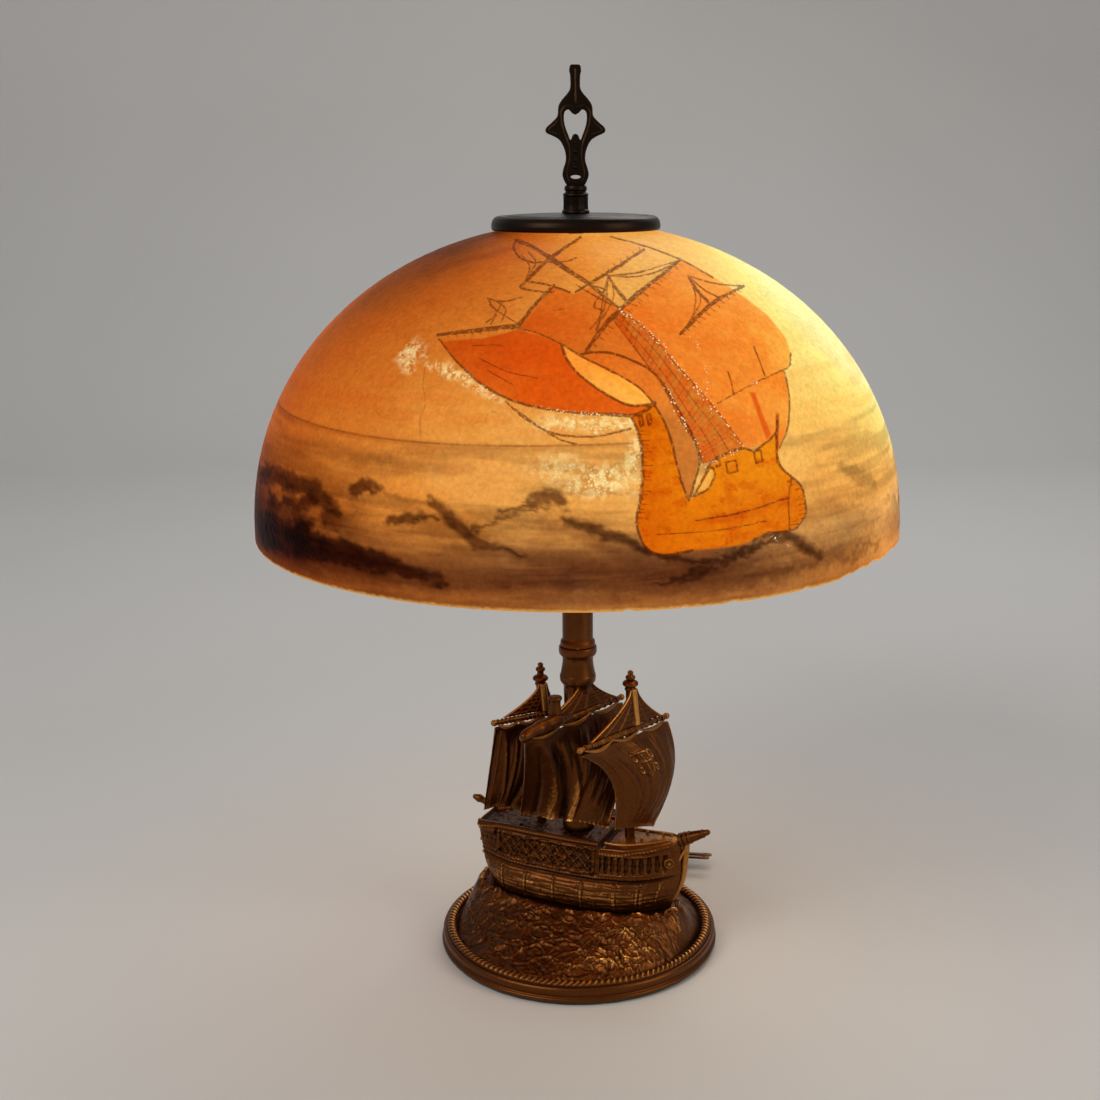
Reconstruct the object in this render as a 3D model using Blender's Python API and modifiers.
"""Table lamp: a dome glass shade on a cast three-masted sailing ship, two pull-chain sockets inside.

Units are metres in the file and millimetres in the constants. +Z is up, +X is right and -Y is the
front. The origin is the centre of the base's underside, on the axis that the pipe, the column, the
shade and the finial share.
"""
import math

import bmesh
import bpy
from mathutils import Matrix, Vector

MM = 0.001
GAP = 0.3                      # air left between neighbouring pieces
WELD = 0.00001                 # metres, distance within which built points are merged
UP = Vector((0, 0, 1))

# ---- driving dimensions, millimetres ----
BASE_R = 93.5                  # outer lip of the round foot
FELT_T = 1.6
FOOT_Z = FELT_T + GAP
FOOT_INNER_R = 88.0            # inside of the foot's rim
SEA_TOP = 33.7                 # level top of the cast sea, where the hull sits
HULL_Z = SEA_TOP + GAP
CORD_R = 2.2
CORD_Z = 6.2                   # height of the cord hole in the foot
PIPE_R, PIPE_BORE = 5.1, 3.6   # threaded lamp pipe
PIPE_Z0, PIPE_Z1 = 22.0, 342.0
CLOSE_HOLE_R = PIPE_R + GAP    # holes in the nuts and the cluster
LOOSE_HOLE_R = 5.5             # holes in the hull, the main mast and the washer
MAST_R = 9.0                   # main mast casting round the pipe
MAIN_MAST_TOP = 208.7
COLUMN_R, COLUMN_BORE = 10.0, 8.0
COLUMN_Z0, COLUMN_Z1 = MAIN_MAST_TOP + GAP, 330.0
CLUSTER_Z = 343.0              # level where the two socket axes meet
ARM_TILT = 26.0                # degrees the socket axes rise from level
BULB_BASE_TOP = 89.0           # along the socket axis
CHAIN_X = 59.1                 # distance of each pull chain from the lamp axis
RISER_R = 4.8
RISER_Z0, RISER_Z1 = 350.0, 494.0
NUT_R, NUT_T = 9.2, 3.8
SPIDER_Z = 465.0               # mid level of the spider's arms and ring
SHADE_R, SHADE_WIDEST_Z, SHADE_RISE = 202.55, 295.1, 184.5
SHADE_RIM_Z = 289.6
SHADE_T = 4.5                  # glass thickness
SHADE_HOLE_R = 48.0
GASKET_TOP = 477.0
CAP_R, CAP_TOP, CAP_EDGE = 51.85, 484.5, 475.0
NECK_TOP = 501.6               # top of the finial's turned neck
FINIAL_TOP = 572.0
FINIAL_T = 4.2
SHIP_YAW = -23.0               # degrees; the bow points right and partly to the front

# ---- materials: base colour, roughness, metallic ----
FINISHES = {
    "antique_brass": ((0.36, 0.20, 0.075), 0.42, 0.9),
    "dark_bronze": ((0.10, 0.06, 0.035), 0.45, 0.85),
    "bright_brass": ((0.75, 0.52, 0.20), 0.28, 1.0),
    "steel": ((0.45, 0.45, 0.44), 0.35, 1.0),
    "painted_glass": ((0.85, 0.48, 0.16), 0.25, 0.0),
    "bulb_glass": ((1.0, 0.95, 0.85), 0.2, 0.0),
    "brown_bakelite": ((0.05, 0.025, 0.015), 0.35, 0.0),
    "fibre": ((0.12, 0.09, 0.06), 0.8, 0.0),
    "cord_jacket": ((0.07, 0.04, 0.025), 0.6, 0.0),
    "felt": ((0.05, 0.12, 0.07), 0.95, 0.0),
}


def finish(ob, kind):
    """Give the object its own material of this finish."""
    colour, roughness, metallic = FINISHES[kind]
    mat = bpy.data.materials.new(ob.name + "_" + kind)
    mat.use_nodes = True
    shader = mat.node_tree.nodes["Principled BSDF"]
    shader.inputs["Base Color"].default_value = (*colour, 1.0)
    shader.inputs["Roughness"].default_value = roughness
    shader.inputs["Metallic"].default_value = metallic
    ob.data.materials.clear()
    ob.data.materials.append(mat)


# ---- directions and places ----
def heading(degrees):
    """Level unit vector, turned from +X towards +Y."""
    angle = math.radians(degrees)
    return Vector((math.cos(angle), math.sin(angle), 0.0))


def left_of(v):
    return Vector((-v.y, v.x, 0.0))


TO_BOW = heading(SHIP_YAW)
TO_PORT = left_of(TO_BOW)


def ship_point(s, t, z):
    """Point in metres: s towards the bow, t towards port, z up."""
    return (TO_BOW * s + TO_PORT * t + UP * z) * MM


# ---- builders; a piece without a finish is a helper for a boolean ----
def link(name, data, kind):
    ob = bpy.data.objects.new(name, data)
    (PARTS if kind else HELPERS).objects.link(ob)
    if kind:
        finish(ob, kind)
    return ob


def tidy(me, distance):
    """Weld close points and turn the faces outwards."""
    bm = bmesh.new()
    bm.from_mesh(me)
    bmesh.ops.remove_doubles(bm, verts=bm.verts, dist=distance)
    bmesh.ops.recalc_face_normals(bm, faces=bm.faces)
    bm.to_mesh(me)
    bm.free()


def turned(name, profile, kind, steps):
    """Turn a profile of (radius, height) about Z; it is closed unless it starts on the axis."""
    count = len(profile)
    edges = [(i, i + 1) for i in range(count - 1)]
    if profile[0][0] > 1e-6:
        edges.append((count - 1, 0))
    me = bpy.data.meshes.new(name)
    me.from_pydata([(r * MM, 0.0, z * MM) for r, z in profile], edges, [])
    ob = link(name, me, kind)
    turn = ob.modifiers.new("turn", "SCREW")
    turn.axis = "Z"
    turn.angle = math.tau
    turn.screw_offset = 0.0
    turn.steps = turn.render_steps = steps
    turn.use_merge_vertices = True
    turn.merge_threshold = WELD
    turn.use_smooth_shade = True
    ob.modifiers.new("poles", "WELD").merge_threshold = WELD
    return ob


def tube(radius, bore, top, bottom):
    """Profile of a plain tube or washer."""
    return [(radius, top), (radius, bottom), (bore, bottom), (bore, top)]


def loft(name, rings, kind=None, loop=False):
    """Skin through rings of equal point count; the ends are capped, or joined when loop is set."""
    count = len(rings[0])
    verts = [v for ring in rings for v in ring]
    faces = []
    for i in range(len(rings) if loop else len(rings) - 1):
        this, after = i * count, ((i + 1) % len(rings)) * count
        for j in range(count):
            k = (j + 1) % count
            faces.append((this + j, this + k, after + k, after + j))
    if not loop:
        faces.append(tuple(reversed(range(count))))
        faces.append(tuple(range(len(verts) - count, len(verts))))
    me = bpy.data.meshes.new(name)
    me.from_pydata(verts, [], faces)
    tidy(me, WELD)
    return link(name, me, kind)


def cylinder(name, radius, depth, centre, segments, axis=UP, kind=None, end_radius=None):
    """Cylinder centred on a point, or a cone when end_radius gives its far end along the axis."""
    if end_radius is None:
        end_radius = radius
    me = bpy.data.meshes.new(name)
    bm = bmesh.new()
    bmesh.ops.create_cone(bm, cap_ends=True, segments=segments, radius1=radius * MM,
                          radius2=end_radius * MM, depth=depth * MM)
    bm.to_mesh(me)
    bm.free()
    ob = link(name, me, kind)
    turn = Vector(axis).to_track_quat("Z", "Y").to_matrix().to_4x4()
    ob.matrix_world = Matrix.Translation(Vector(centre) * MM) @ turn
    return ob


def box(name, size, centre, yaw, kind=None):
    me = bpy.data.meshes.new(name)
    bm = bmesh.new()
    bmesh.ops.create_cube(bm, size=1.0)
    bmesh.ops.scale(bm, verts=bm.verts, vec=Vector(size) * MM)
    bm.to_mesh(me)
    bm.free()
    ob = link(name, me, kind)
    turn = Matrix.Rotation(math.radians(yaw), 4, "Z")
    ob.matrix_world = Matrix.Translation(centre * MM) @ turn
    return ob


def round_edges(ob, width, segments, limit):
    bevel = ob.modifiers.new("round", "BEVEL")
    bevel.width = width * MM
    bevel.segments = segments
    bevel.limit_method = limit


def combine(ob, helper, operation="DIFFERENCE"):
    """Cut the helper from the object, or join it on with UNION."""
    helper.hide_render = True
    helper.display_type = "WIRE"
    boolean = ob.modifiers.new(operation.lower(), "BOOLEAN")
    boolean.operation = operation
    boolean.object = helper
    boolean.solver = "EXACT"


def wire(name, points, radius, kind):
    """A round wire through points, with filled ends."""
    curve = bpy.data.curves.new(name, "CURVE")
    curve.dimensions = "3D"
    spline = curve.splines.new("POLY")
    spline.points.add(len(points) - 1)
    for knot, place in zip(spline.points, points):
        knot.co = (*(Vector(place) * MM), 1.0)
    curve.bevel_depth = radius * MM
    curve.bevel_resolution = 1
    curve.use_fill_caps = True
    link(name, curve, kind)


def flat_casting(name, loops, thickness, kind):
    """Plate standing in the XZ plane; the loops after the first are holes."""
    curve = bpy.data.curves.new(name, "CURVE")
    curve.dimensions = "2D"
    curve.fill_mode = "BOTH"
    curve.extrude = thickness / 2 * MM
    for points in loops:
        spline = curve.splines.new("POLY")
        spline.points.add(len(points) - 1)
        for knot, (x, z) in zip(spline.points, points):
            knot.co = (x * MM, z * MM, 0.0, 1.0)
        spline.use_cyclic_u = True
    source = bpy.data.objects.new(name, curve)
    PARTS.objects.link(source)
    bpy.context.view_layer.update()
    depsgraph = bpy.context.evaluated_depsgraph_get()
    me = bpy.data.meshes.new_from_object(source.evaluated_get(depsgraph))
    bpy.data.objects.remove(source, do_unlink=True)
    me.name = name
    tidy(me, WELD / 2)
    link(name, me, kind).rotation_euler = (math.pi / 2, 0, 0)


# ---- base: a hollow round casting, rope rim, sea rising to an oval seat under the hull ----
# half-axis along the ship, half-axis across it, height: up the outside, then down the inside
BASE_OUTSIDE = [
    (92.3, 92.3, FOOT_Z), (BASE_R, BASE_R, 3.1), (BASE_R, BASE_R, 4.4), (92.0, 92.0, 5.2),
    (92.6, 92.6, 7.2), (92.2, 92.2, 10.0), (90.4, 90.4, 12.4), (87.6, 87.6, 13.2),
    (85.2, 85.2, 12.2), (83.6, 83.6, 10.6), (82.6, 82.6, 11.8), (81.4, 75.0, 16.0),
    (80.2, 60.0, 22.5), (79.0, 46.0, 29.5), (77.5, 34.0, SEA_TOP),
]
BASE_INSIDE = [
    (5.6, 5.6, SEA_TOP), (5.6, 5.6, 29.8), (71.0, 28.0, 29.8), (75.0, 52.0, 19.0),
    (77.0, 70.0, 11.0), (84.0, 84.0, 9.0), (87.0, 87.0, 8.6),
    (FOOT_INNER_R, FOOT_INNER_R, 6.8), (FOOT_INNER_R, FOOT_INNER_R, FOOT_Z),
]
BUSHING = [(4.3, 0.0), (4.3, -2.0), (3.3, -2.2), (3.3, -9.0), (2.55, -9.0), (2.55, 0.0)]
BUSHING_Y = 96.0               # outer face of the bushing, at the back of the foot


def oval(along, across, z, count=36):
    angles = [math.tau * i / count for i in range(count)]
    return [ship_point(along * math.cos(a), across * math.sin(a), z) for a in angles]


def build_base():
    rings = [oval(*row) for row in BASE_OUTSIDE + BASE_INSIDE]
    base = loft("base_casting", rings, "antique_brass", loop=True)
    combine(base, cylinder("cord_hole_cutter", 3.6, 30.0, (0, FOOT_INNER_R, CORD_Z), 24,
                           axis=(0, 1, 0)))
    felt_r = 91.8
    turned("base_felt", [(0.0, FELT_T), (felt_r, FELT_T), (felt_r, 0.0), (0.0, 0.0)], "felt", 36)
    bushing = turned("cord_bushing", BUSHING, "brown_bakelite", 14)
    bushing.matrix_world = (Matrix.Translation((0, BUSHING_Y * MM, CORD_Z * MM))
                            @ Matrix.Rotation(-math.pi / 2, 4, "X"))


# ---- hull: lofted, hollow from below, bored for the pipe and the masts ----
# stern to bow: s, half-breadths at the waterline, lower wale, upper wale and deck edge, deck height
STATIONS = [
    (-75.0, 6.0, 9.0, 13.0, 13.5, 79.5), (-70.0, 9.5, 12.5, 16.0, 15.5, 80.0),
    (-58.0, 15.0, 18.5, 20.0, 17.5, 81.0), (-44.0, 19.0, 22.5, 23.0, 19.5, 82.0),
    (-25.0, 21.5, 25.0, 25.0, 21.0, 82.0), (24.0, 21.5, 25.5, 25.0, 21.3, 82.0),
    (30.0, 20.5, 24.5, 24.0, 20.8, 76.5), (44.0, 18.0, 22.0, 22.5, 19.5, 77.0),
    (58.0, 13.0, 16.5, 18.0, 16.0, 79.5), (69.0, 7.5, 10.0, 12.0, 11.0, 82.0),
    (76.0, 3.5, 5.0, 6.5, 6.5, 83.5), (79.5, 1.6, 2.2, 3.0, 3.2, 84.0),
]
LOWER_WALE_Z, UPPER_WALE_Z = HULL_Z + 9.0, HULL_Z + 22.0
HULL_WALL = 3.6
CAVITY_TOP = 66.0
MIN_HALF_BREADTH = 0.8
FORE_S, MIZZEN_S = 37.0, -27.0
FORE_STEP_Z, MIZZEN_STEP_Z = 70.0, 74.0    # floors of the mast sockets in the deck


def section(station, inset=0.0, bottom=HULL_Z, top=None):
    """Ring of points round one station; top replaces the station's deck height."""
    s, *breadths, deck = station
    heights = (bottom, LOWER_WALE_Z, UPPER_WALE_Z, deck if top is None else top)
    side = [(max(w - inset, MIN_HALF_BREADTH), z) for w, z in zip(breadths, heights)]
    port = [ship_point(s, w, z) for w, z in side]
    return port + [ship_point(s, -w, z) for w, z in reversed(side)]


def build_hull():
    hull = loft("hull", [section(station) for station in STATIONS], "antique_brass")
    combine(hull, loft("hull_cavity_cutter", [
        section(station, HULL_WALL, HULL_Z - 3.0, CAVITY_TOP) for station in STATIONS[2:-2]]))
    combine(hull, cylinder("hull_bore_cutter", LOOSE_HOLE_R, 60.0, (0, 0, 75.0), 32))
    depth = 30.0
    for name, s, floor in (("foremast", FORE_S, FORE_STEP_Z), ("mizzen", MIZZEN_S, MIZZEN_STEP_Z)):
        centre = TO_BOW * s + UP * (floor + depth / 2)
        combine(hull, cylinder(name + "_step_cutter", 4.1, depth, centre, 24))
    # thick tapering spar standing forward and up from the stem head
    cylinder("bowsprit", 4.6, 22.0, TO_BOW * 90.3 + UP * 88.5, 20,
             axis=TO_BOW * 0.90 + UP * 0.42, kind="antique_brass", end_radius=1.9)


# ---- masts and column ----
MAIN_MAST = [
    (12.2, MAIN_MAST_TOP), (12.4, 206.2), (12.3, 203.2), (10.3, 201.6), (10.0, 199.0),
    (11.4, 191.0), (11.7, 187.6), (11.6, 184.6), (9.6, 182.8), (MAST_R, 176.0), (MAST_R, 92.0),
    (12.0, 86.0), (13.5, 84.0), (13.5, 82.4), (LOOSE_HOLE_R, 82.4), (LOOSE_HOLE_R, MAIN_MAST_TOP),
]
COLUMN = [
    (COLUMN_R, COLUMN_Z1), (COLUMN_R, COLUMN_Z0 + 3.5), (11.2, COLUMN_Z0 + 2.2),
    (11.4, COLUMN_Z0), (COLUMN_BORE, COLUMN_Z0), (COLUMN_BORE, COLUMN_Z1),
]


def build_small_mast(name, s, foot_z, ring_z, top_z):
    profile = [(0.0, top_z), (1.9, top_z - 0.4), (3.0, top_z - 2.2), (3.4, ring_z + 2.6),
               (4.7, ring_z + 1.9), (5.4, ring_z), (4.9, ring_z - 1.8), (3.1, ring_z - 3.2),
               (3.4, foot_z), (0.0, foot_z)]
    turned(name, profile, "antique_brass", 14).location = ship_point(s, 0, 0)


def build_masts():
    build_small_mast("foremast", FORE_S, FORE_STEP_Z + GAP, 187.0, 196.0)
    build_small_mast("mizzen_mast", MIZZEN_S, MIZZEN_STEP_Z + GAP, 182.4, 193.5)
    turned("main_mast", MAIN_MAST, "antique_brass", 22)
    turned("column_tube", COLUMN, "antique_brass", 28)


# ---- yards, sails and shroud webs ----
# yard: plan (x, y) of its front and back ends, height; each lies just forward of its mast
YARDS = {
    "fore": ((0.5, -59.3), (59.05, 3.9), 158.0),
    "main": ((-35.0, -60.1), (29.45, 16.3), 167.0),
    "mizzen": ((-55.3, -14.4), (-12.0, 8.6), 160.0),
}
# sail: how far it drops, how far it bellies forward, how much its foot narrows
SAILS = {"fore": (65.0, 15.0, 0.50), "main": (76.0, 14.0, 0.42), "mizzen": (60.0, 8.0, 0.12)}
# web: s of its mast, height of its head, its plane forward of the mast axis, half-width of its head
WEBS = {
    "fore": (FORE_S, 181.0, 5.5, 3.0),
    "main": (0.0, 181.5, 12.3, 6.0),
    "mizzen": (MIZZEN_S, 177.0, 7.0, 3.0),
}
SAIL_COLUMNS, SAIL_ROWS = 8, 6
SAIL_SPAN = 0.97               # head of the sail as a share of the yard
SAIL_HEAD_DROP = 3.4           # head of the sail below the yard's axis
SAIL_FOOT_ARCH = 3.0           # rise of the foot at its middle
SAIL_T = 1.8
WEB_SPAN = 0.8                 # foot of the web as a share of the yard
WEB_RISE = 2.3                 # foot of the web above the yard's axis
WEB_STEPS = 8
WEB_SWEEP = 0.62               # exponent; below 1 the web's sides curve inwards
WEB_T = 1.6


def build_yard(rig, middle, half, along):
    yard = cylinder(rig + "_yard", 1.8, 2 * half, middle, 14, axis=along, kind="antique_brass")
    round_edges(yard, 0.7, 1, "ANGLE")


def build_sail(rig, middle, half, along, ahead):
    drop, belly, narrowing = SAILS[rig]
    verts, faces = [], []
    for j in range(SAIL_ROWS + 1):
        v = j / SAIL_ROWS                          # 0 at the head, 1 at the foot
        half_width = half * SAIL_SPAN * (1 - narrowing * v ** 1.6)
        for i in range(SAIL_COLUMNS + 1):
            u = 2 * i / SAIL_COLUMNS - 1           # -1 to 1 across the sail
            puff = belly * math.sin(math.pi * (0.06 + 0.84 * v)) * (1 - 0.75 * u * u)
            arch = SAIL_FOOT_ARCH * (1 - u * u) * v ** 3
            sink = SAIL_HEAD_DROP + (drop - arch) * v
            verts.append((middle + along * (u * half_width) + ahead * puff - UP * sink) * MM)
    stride = SAIL_COLUMNS + 1
    for j in range(SAIL_ROWS):
        for i in range(SAIL_COLUMNS):
            q = j * stride + i
            faces.append((q, q + 1, q + stride + 1, q + stride))
    me = bpy.data.meshes.new(rig + "_sail")
    me.from_pydata(verts, [], faces)
    cloth = link(rig + "_sail", me, "antique_brass").modifiers.new("cloth_thickness", "SOLIDIFY")
    cloth.thickness = SAIL_T * MM
    cloth.offset = 0.0


def build_web(rig, near, far, along, ahead):
    """Flat web spreading from its head in front of the mast down to the yard."""
    mast_s, head_z, plane, head_half = WEBS[rig]
    centre = TO_BOW * mast_s + ahead * plane
    foot_z = near.z + WEB_RISE
    back, front = [], []
    for end, head, steps in ((near, -head_half, range(WEB_STEPS + 1)),
                             (far, head_half, range(WEB_STEPS, -1, -1))):
        foot = (end - centre).dot(along) * WEB_SPAN
        for k in steps:
            f = k / WEB_STEPS
            height = head_z + (foot_z - head_z) * f ** WEB_SWEEP
            place = centre + along * (head + (foot - head) * f) + UP * height
            back.append((place - ahead * (WEB_T / 2)) * MM)
            front.append((place + ahead * (WEB_T / 2)) * MM)
    loft(rig + "_shrouds", [back, front], "antique_brass")


def build_rigging():
    for rig, (near_xy, far_xy, z) in YARDS.items():
        near, far = Vector((*near_xy, z)), Vector((*far_xy, z))
        along = (far - near).normalized()
        ahead = along.cross(UP).normalized()       # towards the bow
        half, middle = (far - near).length / 2, (near + far) / 2
        build_yard(rig, middle, half, along)
        build_sail(rig, middle, half, along, ahead)
        build_web(rig, near, far, along, ahead)


# ---- pipe, washer and nuts ----
def build_pipe():
    turned("lamp_pipe", tube(PIPE_R, PIPE_BORE, PIPE_Z1, PIPE_Z0), "steel", 24)
    turned("lock_washer", tube(10.5, LOOSE_HOLE_R, 29.5, 28.3), "steel", 18)
    for name, z in (("pipe_nut", 26.1), ("spider_nut", 459.0)):
        nut = cylinder(name, NUT_R, NUT_T, (0, 0, z), 6, kind="steel")
        combine(nut, cylinder(name + "_bore_cutter", CLOSE_HOLE_R, 12.0, (0, 0, z), 24))


# ---- cluster body, arms and sockets ----
CLUSTER = [
    (8.0, 361.0), (12.5, 358.0), (17.2, 352.0), (18.6, CLUSTER_Z), (17.2, 334.6), (12.0, 330.4),
    (CLOSE_HOLE_R, 330.4), (CLOSE_HOLE_R, 333.0), (11.0, 333.2), (15.0, 337.0),
    (16.3, CLUSTER_Z), (15.0, 350.0), (10.8, 355.6), (5.1, 358.4), (5.1, 361.0),
]
BULB_R, BULB_CENTRE, BULB_WALL = 24.0, 127.0, 0.9


def bulb_profile():
    """Outer wall from the crown to the neck, then the inner wall back to the crown."""
    angles = [math.radians(90 - i * 22.0) for i in range(7)]
    outside = [(BULB_R * math.cos(a), BULB_CENTRE + BULB_R * math.sin(a)) for a in angles]
    outside += [(15.2, 101.5), (13.0, 94.5), (12.4, BULB_BASE_TOP + GAP)]
    inside = [(r - BULB_WALL, z) for r, z in reversed(outside[1:])]
    return outside + inside + [(0.0, BULB_CENTRE + BULB_R - BULB_WALL)]


# name, profile (radius, distance from the cluster centre), finish, steps
SOCKET_PIECES = [
    ("arm_nipple", tube(PIPE_R, PIPE_BORE, 31.5, 14.5), "bright_brass", 20),
    ("socket_cap", [(17.0, 46.0), (17.0, 40.5), (15.2, 33.5), (10.5, 29.0), (CLOSE_HOLE_R, 27.6),
                    (CLOSE_HOLE_R, 29.0), (9.8, 30.4), (14.0, 34.4), (15.95, 40.8),
                    (15.95, 46.0)], "bright_brass", 20),
    ("socket_shell", [(16.4, 92.0), (15.6, 89.5), (15.6, 41.0), (14.9, 41.0), (14.9, 89.8),
                      (15.7, 92.0)], "bright_brass", 20),
    ("socket_liner", tube(14.6, 14.05, 87.0, 42.0), "fibre", 20),
    ("socket_switch", [(0.0, 63.0), (13.7, 63.0), (13.7, 44.5), (11.5, 43.0), (0.0, 43.0)],
     "brown_bakelite", 18),
    ("screw_shell", tube(13.75, 13.3, 86.0, 63.0 + GAP), "bright_brass", 20),
    ("bulb_base", [(0.0, BULB_BASE_TOP), (12.9, BULB_BASE_TOP), (12.9, 70.0), (9.5, 66.8),
                   (4.6, 65.8), (4.4, 64.4), (0.0, 64.0)], "bright_brass", 16),
    ("bulb_glass", bulb_profile(), "bulb_glass", 14),
]
# upright pieces at each chain: name, profile, steps
CHAIN_PIECES = [
    ("chain_guide", [(2.6, 352.4), (2.6, 343.0), (3.6, 341.5), (2.9, 341.5), (1.9, 343.6),
                     (1.9, 352.4)], 10),
    ("pull_chain", [(0.0, 351.6), (1.15, 351.6), (1.15, 284.6), (1.9, 283.6), (3.1, 278.6),
                    (2.8, 276.6), (0.0, 276.2)], 8),
]


def build_socket(cluster, side, sign):
    """One arm with its socket, bulb, chain and lead; sign is +1 on the right, -1 on the left."""
    centre = UP * CLUSTER_Z
    tilt = math.radians(ARM_TILT)
    arm = Vector((math.cos(tilt) * sign, 0, math.sin(tilt)))
    combine(cluster, cylinder("arm_hole_cutter_" + side, CLOSE_HOLE_R, 24.0,
                              centre + arm * 20.0, 24, axis=arm))
    lean = Matrix.Rotation(math.radians(90.0 - ARM_TILT) * sign, 4, "Y")
    for name, profile, kind, steps in SOCKET_PIECES:
        piece = turned(name + "_" + side, profile, kind, steps)
        piece.matrix_world = Matrix.Translation(centre * MM) @ lean
    for name, profile, steps in CHAIN_PIECES:
        piece = turned(name + "_" + side, profile, "bright_brass", steps)
        piece.location = (sign * CHAIN_X * MM, 0, 0)
    lead = [centre + Vector((2.9 * sign, 0, 0.0)), centre + Vector((5.6 * sign, 0, 3.6))]
    lead += [centre + arm * distance for distance in (14.0, 30.0, 42.4)]
    wire("socket_lead_" + side, lead, 1.1, "cord_jacket")


def build_cluster():
    cluster = turned("cluster_body", CLUSTER, "dark_bronze", 16)
    build_socket(cluster, "right", 1)
    build_socket(cluster, "left", -1)


# ---- riser and the spider that carries the shade ----
def build_spider():
    turned("riser_rod", [(0.0, RISER_Z1), (RISER_R, RISER_Z1), (RISER_R, RISER_Z0),
                         (0.0, RISER_Z0)], "steel", 20)
    spider = turned("shade_spider", tube(9.5, 5.1, 468.0, 461.5), "bright_brass", 30)
    ring = turned("spider_ring_tool", tube(57.0, 52.0, SPIDER_Z + 1.6, SPIDER_Z - 1.6), None, 30)
    combine(spider, ring, "UNION")
    for k in range(3):
        yaw = 30 + 120 * k
        centre = heading(yaw) * 31.0 + UP * SPIDER_Z
        combine(spider, box("spider_arm_tool_%d" % k, (47.0, 6.0, 2.4), centre, yaw), "UNION")


# ---- glass shade, gasket, cap ----
SHADE_STEPS = 9
SHADE_POWER_R, SHADE_POWER_Z = 2.03, 2.09  # superellipse powers; 2 would make a plain ellipse
CAP = [
    (46.5, CAP_TOP), (49.6, 483.7), (51.4, 481.8), (CAP_R, 479.4), (CAP_R, CAP_EDGE),
    (51.0, CAP_EDGE), (51.0, GASKET_TOP + GAP), (44.5, GASKET_TOP + GAP), (43.5, 482.0),
    (5.3, 482.0), (5.3, CAP_TOP),
]


def dome_profile():
    """Superelliptic dome, its wall offset inwards square to the surface, its rim chamfered."""
    last = SHADE_STEPS
    top = math.acos((SHADE_HOLE_R / SHADE_R) ** (SHADE_POWER_R / 2))
    dome = []
    for i in range(last + 1):
        phi = top * (1 - i / last)
        dome.append((SHADE_R * math.cos(phi) ** (2 / SHADE_POWER_R),
                     SHADE_WIDEST_Z + SHADE_RISE * math.sin(phi) ** (2 / SHADE_POWER_Z)))
    rim = [(SHADE_R, SHADE_RIM_Z + 1.6), (SHADE_R - 1.4, SHADE_RIM_Z),
           (SHADE_R - SHADE_T + 1.2, SHADE_RIM_Z), (SHADE_R - SHADE_T, SHADE_RIM_Z + 1.4)]
    outside = dome + rim[:1]
    inside = []
    for i in range(last, -1, -1):
        before, after = outside[max(i - 1, 0)], outside[min(i + 1, last)]
        dr, dz = after[0] - before[0], after[1] - before[1]
        length = math.hypot(dr, dz)
        # the wall runs down its outer side, so (dz, -dr) points into the glass
        r, z = outside[i][0] + dz / length * SHADE_T, outside[i][1] - dr / length * SHADE_T
        # the hole at the top keeps its radius through the glass
        inside.append((SHADE_HOLE_R if i == 0 else r, z))
    return dome + rim + inside


def build_shade():
    turned("glass_shade", dome_profile(), "painted_glass", 42)
    turned("cap_gasket", tube(50.6, 47.0, GASKET_TOP, 475.4), "felt", 28)
    turned("shade_cap", CAP, "dark_bronze", 28)


# ---- finial: a turned neck and a flat pierced casting ----
NECK = [
    (6.4, NECK_TOP), (6.9, 498.6), (7.9, 497.0), (7.9, 486.0), (8.3, CAP_TOP + GAP),
    (5.1, CAP_TOP + GAP), (5.1, 496.0), (2.0, 498.5), (2.0, NECK_TOP),
]
# right halves of the casting's outline and of its large hole: distance from the axis, height
OUTLINE = [
    (5.6, NECK_TOP + GAP), (6.8, 504.0), (8.0, 507.6), (7.4, 511.5), (6.0, 516.0), (6.1, 520.5),
    (7.6, 525.0), (9.8, 528.4), (13.4, 530.6), (17.6, 532.6), (17.7, 535.4), (14.0, 538.8),
    (10.8, 542.4), (10.2, 547.8), (8.2, 551.5), (4.6, 555.6), (3.0, 559.0), (3.1, 566.0),
    (3.6, 568.0), (3.2, 571.2), (2.0, FINIAL_TOP),
]
HOLE = [
    (0.0, 532.0), (1.6, 531.2), (3.0, 528.4), (4.4, 531.6), (6.2, 536.5), (6.9, 541.0),
    (6.4, 544.6), (4.2, 546.0), (2.0, 544.0), (0.0, 543.0),
]


def mirrored(points):
    return [(-x, z) for x, z in reversed(points)]


def build_finial():
    turned("finial_neck", NECK, "dark_bronze", 18)
    angles = [math.tau * i / 10 for i in range(10)]
    eye = [(3.0 * math.cos(a), 506.6 + 1.1 * math.sin(a)) for a in angles]
    loops = [OUTLINE + mirrored(OUTLINE), HOLE + mirrored(HOLE[1:-1]), eye]
    flat_casting("finial", loops, FINIAL_T, "dark_bronze")


# ---- cord and plug ----
CORD_REST_Z = 2.4              # axis of the cord lying on the table
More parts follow.
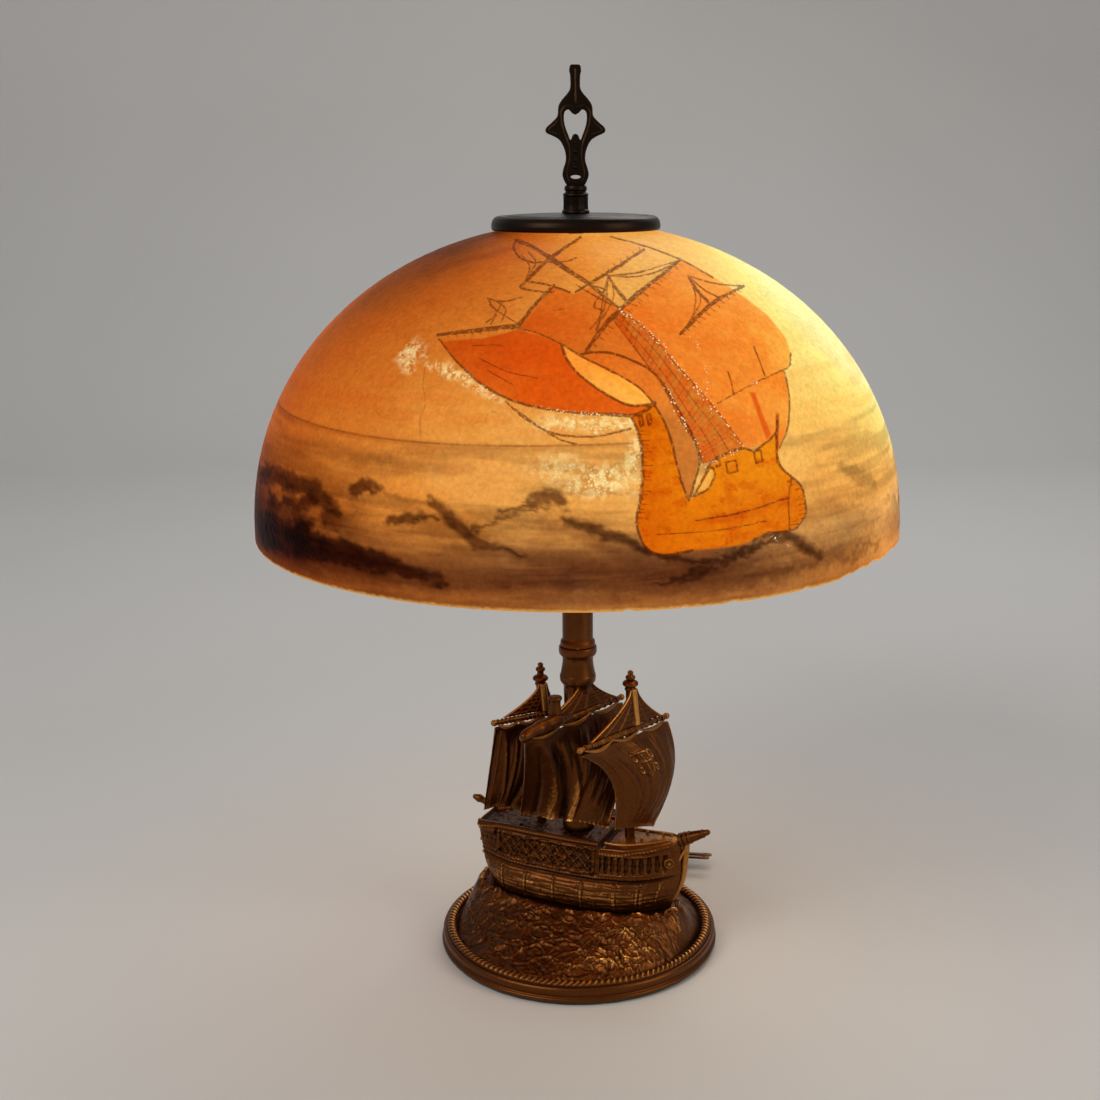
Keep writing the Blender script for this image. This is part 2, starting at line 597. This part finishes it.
# x, y, z: down the pipe, out through the back of the foot and down to the table
CORD_START = [
    (0, 0, 336.0), (0, 0, 180.0), (0, 0, 24.0), (0, 1.5, 18.5), (0, 5.0, 14.0), (0, 14.0, 9.5),
    (0, 30.0, 7.0), (0, 60.0, CORD_Z), (0, 86.0, CORD_Z), (0, 97.5, CORD_Z), (-0.6, 101.5, 4.6),
    (-2.6, 105.4, 3.0), (-6.2, 108.8, CORD_REST_Z),
]
COIL_X, COIL_Y = -5.0, 165.0
COIL_R, COIL_PITCH = 54.5, 5.4     # starting radius, and how much it shrinks per turn
COIL_TURNS, COIL_STEPS = 1.86, 46
COIL_START = -104                  # degrees; the coil runs clockwise seen from above
LIFT_FROM, LIFT = 0.90, 5.0        # share of the coil after which the cord rises, and the rise
PLUG = Vector((65.0, 108.8, 9.2))
PLUG_YAW = -8.0
PLUG_SIZE = (32.0, 27.0, 17.6)
CORD_END = 17.3                    # end of the cord behind the plug's centre
CORD_BEND = 16.0                   # reach of the curve handles between the coil and the plug
BLADE_SIZE = (18.6, 1.5, 6.3)
BLADE_SPACING = 12.7


def coil_points():
    points = []
    for i in range(COIL_STEPS + 1):
        f = i / COIL_STEPS
        angle = math.radians(COIL_START) - math.tau * COIL_TURNS * f
        r = COIL_R - COIL_PITCH * COIL_TURNS * f
        rise = max(f - LIFT_FROM, 0.0) / (1 - LIFT_FROM)
        points.append((COIL_X + r * math.cos(angle), COIL_Y + r * math.sin(angle),
                       CORD_REST_Z + LIFT * math.sin(rise * math.pi / 2)))
    return points


def build_cord_and_plug():
    plug_heading = heading(PLUG_YAW)
    path = CORD_START + coil_points()
    start, end = Vector(path[-1]), PLUG - plug_heading * CORD_END
    leaving = (start - Vector(path[-2])).normalized()
    handle_a, handle_b = start + leaving * CORD_BEND, end - plug_heading * CORD_BEND
    for i in range(1, 9):
        f = i / 8
        g = 1 - f
        path.append(start * g ** 3 + handle_a * 3 * f * g ** 2
                    + handle_b * 3 * f * f * g + end * f ** 3)
    wire("power_cord", path, CORD_R, "cord_jacket")

    round_edges(box("plug_body", PLUG_SIZE, PLUG, PLUG_YAW, "brown_bakelite"), 3.0, 2, "NONE")
    blades = PLUG + plug_heading * (PLUG_SIZE[0] / 2 + GAP + BLADE_SIZE[0] / 2)
    for name, sign in (("near", -1), ("far", 1)):
        centre = blades + left_of(plug_heading) * (sign * BLADE_SPACING / 2)
        box("plug_blade_" + name, BLADE_SIZE, centre, PLUG_YAW, "bright_brass")


# ---- the lamp ----
for old in list(bpy.data.objects):
    bpy.data.objects.remove(old, do_unlink=True)

PARTS = bpy.data.collections.new("table_lamp")
HELPERS = bpy.data.collections.new("cutters")
for group in (PARTS, HELPERS):
    bpy.context.scene.collection.children.link(group)

build_base()
build_hull()
build_masts()
build_rigging()
build_pipe()
build_cluster()
build_spider()
build_shade()
build_finial()
build_cord_and_plug()
